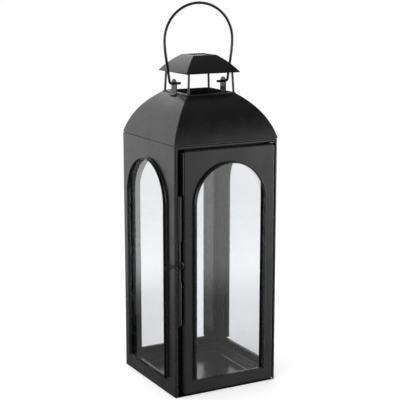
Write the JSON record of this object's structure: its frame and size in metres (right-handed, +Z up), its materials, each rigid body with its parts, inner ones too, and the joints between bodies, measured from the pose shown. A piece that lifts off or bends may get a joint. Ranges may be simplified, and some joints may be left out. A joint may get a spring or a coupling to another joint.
{
  "type": "candle lantern",
  "caption": "Tall square sheet-metal candle lantern with arched glass windows, a domed vented roof with a cap, a wire handle and a glazed side-hinged door with a turn latch.",
  "frame": {"origin": "centre of the square body's plan, on the surface the lantern stands on", "axes": "+Z up, -Y towards the side with the door, +X towards the door's hinge side"},
  "size_m": [0.1723, 0.1596, 0.5009],
  "materials": {
    "black_powder_coat": "satin black powder coat",
    "blackened_steel": "thin black paint on steel wire and strip",
    "clear_glass": "clear float glass"
  },
  "bodies": {
    "root": {"base_tray": "black_powder_coat", "front_sill": "black_powder_coat", "left_panel": "black_powder_coat", "right_panel": "black_powder_coat", "back_panel": "black_powder_coat", "front_header": "black_powder_coat", "latch_jamb": "black_powder_coat", "hinge_jamb": "black_powder_coat", "hinge_bracket": "blackened_steel", "hinge_pin_upper": "blackened_steel", "hinge_pin_lower": "blackened_steel", "left_glass": "clear_glass", "right_glass": "clear_glass", "back_glass": "clear_glass", "left_glass_strip_a": "black_powder_coat", "left_glass_strip_b": "black_powder_coat", "right_glass_strip_a": "black_powder_coat", "right_glass_strip_b": "black_powder_coat", "back_glass_strip_a": "black_powder_coat", "back_glass_strip_b": "black_powder_coat", "roof_base_frame": "black_powder_coat", "roof_front": "black_powder_coat", "roof_right": "black_powder_coat", "roof_back": "black_powder_coat", "roof_left": "black_powder_coat", "vent_curb": "black_powder_coat", "vent_post_front_left": "black_powder_coat", "vent_post_front_right": "black_powder_coat", "vent_post_back_right": "black_powder_coat", "vent_post_back_left": "black_powder_coat", "vent_cap": "black_powder_coat", "vent_cap_plate": "black_powder_coat", "handle_ear_left": "black_powder_coat", "handle_ear_right": "black_powder_coat", "latch_guide_lower": "black_powder_coat", "latch_guide_upper": "black_powder_coat"},
    "door": {"door_panel": "black_powder_coat", "door_glass": "clear_glass", "door_glass_strip_a": "black_powder_coat", "door_glass_strip_b": "black_powder_coat"},
    "handle": {"handle_bail": "black_powder_coat"},
    "latch": {"latch_rod": "blackened_steel", "latch_pull": "black_powder_coat"}
  },
  "joints": [
    {"name": "door_hinge", "type": "hinge", "parent": "root", "child": "door", "pos_m": [0.0676, -0.0723, 0], "axis": [0, 0, 1], "range_deg": [0, 110]},
    {"name": "handle_swing", "type": "hinge", "parent": "root", "child": "handle", "pos_m": [0, 0, 0.397], "axis": [1, 0, 0], "range_deg": [-108, 108]},
    {"name": "latch_turn", "type": "hinge", "parent": "root", "child": "latch", "pos_m": [-0.0686, -0.0754, 0], "axis": [0, 0, 1], "range_deg": [0, 95]}
  ]
}
